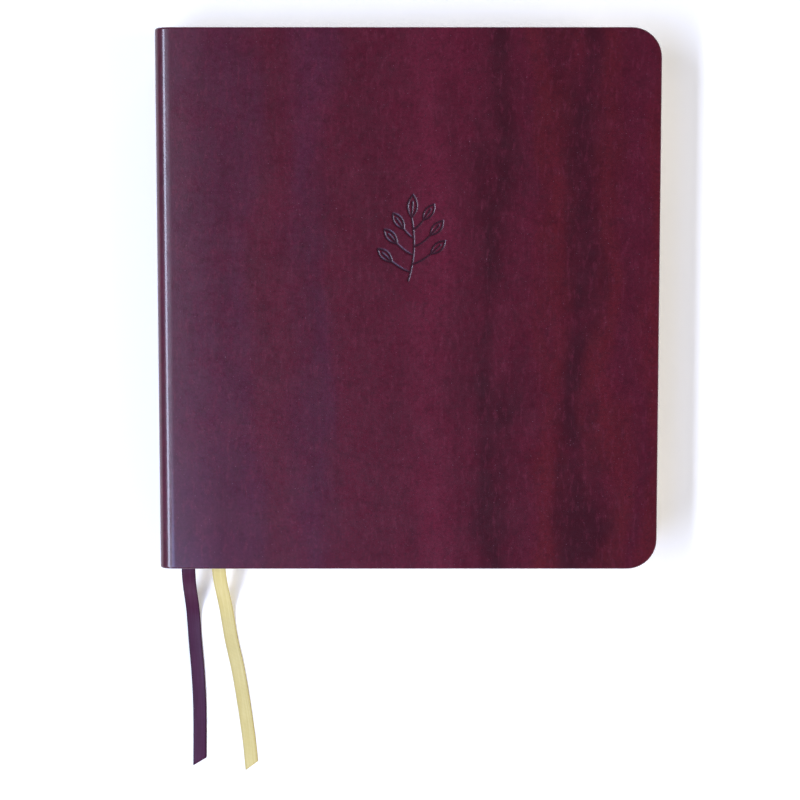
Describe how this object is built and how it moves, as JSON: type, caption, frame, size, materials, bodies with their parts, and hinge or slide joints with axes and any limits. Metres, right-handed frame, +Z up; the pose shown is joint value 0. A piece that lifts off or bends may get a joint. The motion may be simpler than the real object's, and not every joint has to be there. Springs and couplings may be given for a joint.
{
  "type": "prayer book",
  "caption": "Near-square book in a soft burgundy leatherette case with a rounded spine, rounded fore-edge corners, a pressed sprig and ribbon markers.",
  "frame": {"origin": "centre of the closed book's underside, on the surface it lies on", "axes": "+X towards the fore edge, +Y towards the head, +Z up through the thickness"},
  "size_m": [0.214, 0.3255, 0.026],
  "materials": {
    "leatherette": "soft satin burgundy leatherette, mottled in vertical streaks",
    "card": "grey-brown binder's board",
    "endpaper": "cream uncoated endpaper",
    "paper": "off-white uncoated book paper",
    "mull": "open-weave starched cotton",
    "band": "burgundy and cream striped woven band",
    "thread": "waxed white linen thread",
    "plum_ribbon": "plum satin ribbon",
    "cream_ribbon": "cream-gold satin ribbon"
  },
  "bodies": {
    "lower_block": {"signature_07": "paper", "signature_08": "paper", "signature_09": "paper", "signature_10": "paper", "signature_11": "paper", "signature_12": "paper", "spine_skin_lower": "leatherette", "spine_liner_lower": "card", "mull_lower": "mull", "centre_leaf_lower": "paper", "head_band_lower": "band", "tail_band_lower": "band", "sewing_thread_1_lower": "thread", "sewing_thread_2_lower": "thread", "sewing_thread_3_lower": "thread", "sewing_thread_4_lower": "thread", "back_flyleaf": "endpaper", "plum_ribbon_in_book": "plum_ribbon", "cream_ribbon_in_book": "cream_ribbon"},
    "upper_block": {"signature_01": "paper", "signature_02": "paper", "signature_03": "paper", "signature_04": "paper", "signature_05": "paper", "signature_06": "paper", "spine_skin_upper": "leatherette", "spine_liner_upper": "card", "mull_upper": "mull", "centre_leaf_upper": "paper", "head_band_upper": "band", "tail_band_upper": "band", "sewing_thread_1_upper": "thread", "sewing_thread_2_upper": "thread", "sewing_thread_3_upper": "thread", "sewing_thread_4_upper": "thread", "front_flyleaf": "endpaper"},
    "front_cover": {"front_cover_skin": "leatherette", "front_board": "card", "front_pastedown": "endpaper"},
    "back_cover": {"back_cover_skin": "leatherette", "back_board": "card", "back_pastedown": "endpaper"},
    "plum_tail": {"plum_ribbon_tail": "plum_ribbon"},
    "cream_tail": {"cream_ribbon_tail": "cream_ribbon"}
  },
  "joints": [
    {"name": "open_at_ribbon", "type": "hinge", "parent": "lower_block", "child": "upper_block", "pos_m": [-0.107, 0, 0.013], "axis": [0, 1, 0], "range_deg": [-160, 0]},
    {"name": "open_front_cover", "type": "hinge", "parent": "upper_block", "child": "front_cover", "pos_m": [-0.101, 0, 0.0248], "axis": [0, -1, 0], "range_deg": [0, 180]},
    {"name": "open_back_cover", "type": "hinge", "parent": "lower_block", "child": "back_cover", "pos_m": [-0.101, 0, 0.0012], "axis": [0, 1, 0], "range_deg": [0, 180]},
    {"name": "swing_plum_ribbon", "type": "hinge", "parent": "lower_block", "child": "plum_tail", "pos_m": [-0.0958, -0.1156, 0.013], "axis": [0, 0, 1], "range_deg": [-5, 5]},
    {"name": "swing_cream_ribbon", "type": "hinge", "parent": "lower_block", "child": "cream_tail", "pos_m": [-0.0826, -0.1156, 0.013], "axis": [0, 0, 1], "range_deg": [-5, 5]}
  ]
}
